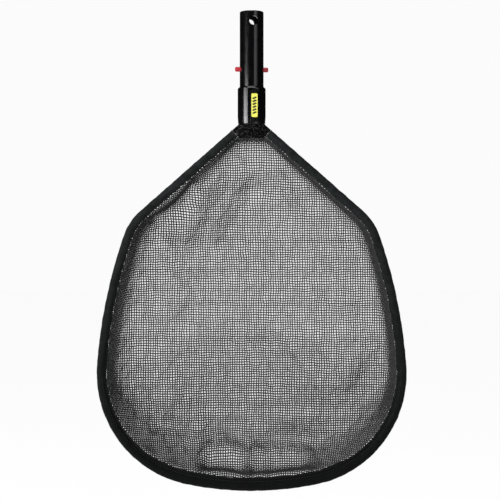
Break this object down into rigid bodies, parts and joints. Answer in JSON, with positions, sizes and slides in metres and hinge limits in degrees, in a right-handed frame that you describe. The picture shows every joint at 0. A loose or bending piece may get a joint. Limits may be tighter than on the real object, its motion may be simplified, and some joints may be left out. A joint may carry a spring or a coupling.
{
  "type": "leaf skimmer net",
  "caption": "Hand skimmer net for a pool or spa: bent tube frame in a cloth sleeve, shallow mesh bag, and a plastic handle that locks in a telescopic pole with a two-button spring clip.",
  "frame": {"origin": "on the handle's axis, at the shoulder where the pole's end stops", "axes": "+Z along the handle towards its open end, +X across the frame, -Y the open front of the bag and, 11 degrees off, the label's side"},
  "size_m": [0.3716, 0.0739, 0.5745],
  "materials": {
    "handle_plastic": "gloss",
    "label": "satin",
    "yoke_plastic": "satin",
    "frame": "satin",
    "sleeve_cloth": "matte",
    "net": "matte",
    "clip": "satin",
    "screws": "satin"
  },
  "bodies": {
    "net": {"handle": "handle_plastic", "label": "label", "yoke": "yoke_plastic", "frame_tube": "frame", "rim_sleeve": "sleeve_cloth", "mesh_bag": "net", "clip_base": "clip", "yoke_screw": "screws", "frame_screw_left": "screws", "frame_screw_right": "screws"},
    "clip_left": {"clip_arm_left": "clip"},
    "clip_right": {"clip_arm_right": "clip"}
  },
  "joints": [
    {"name": "left_button_press", "type": "hinge", "parent": "net", "child": "clip_left", "pos_m": [-0.00972, -0.00189, -0.0235], "axis": [-0.1908, 0.9816, 0], "range_deg": [0, 7], "stiffness_Nm_per_rad": 0.6},
    {"name": "right_button_press", "type": "hinge", "parent": "net", "child": "clip_right", "pos_m": [0.00972, 0.00189, -0.0235], "axis": [0.1908, -0.9816, 0], "range_deg": [0, 7], "stiffness_Nm_per_rad": 0.6}
  ]
}
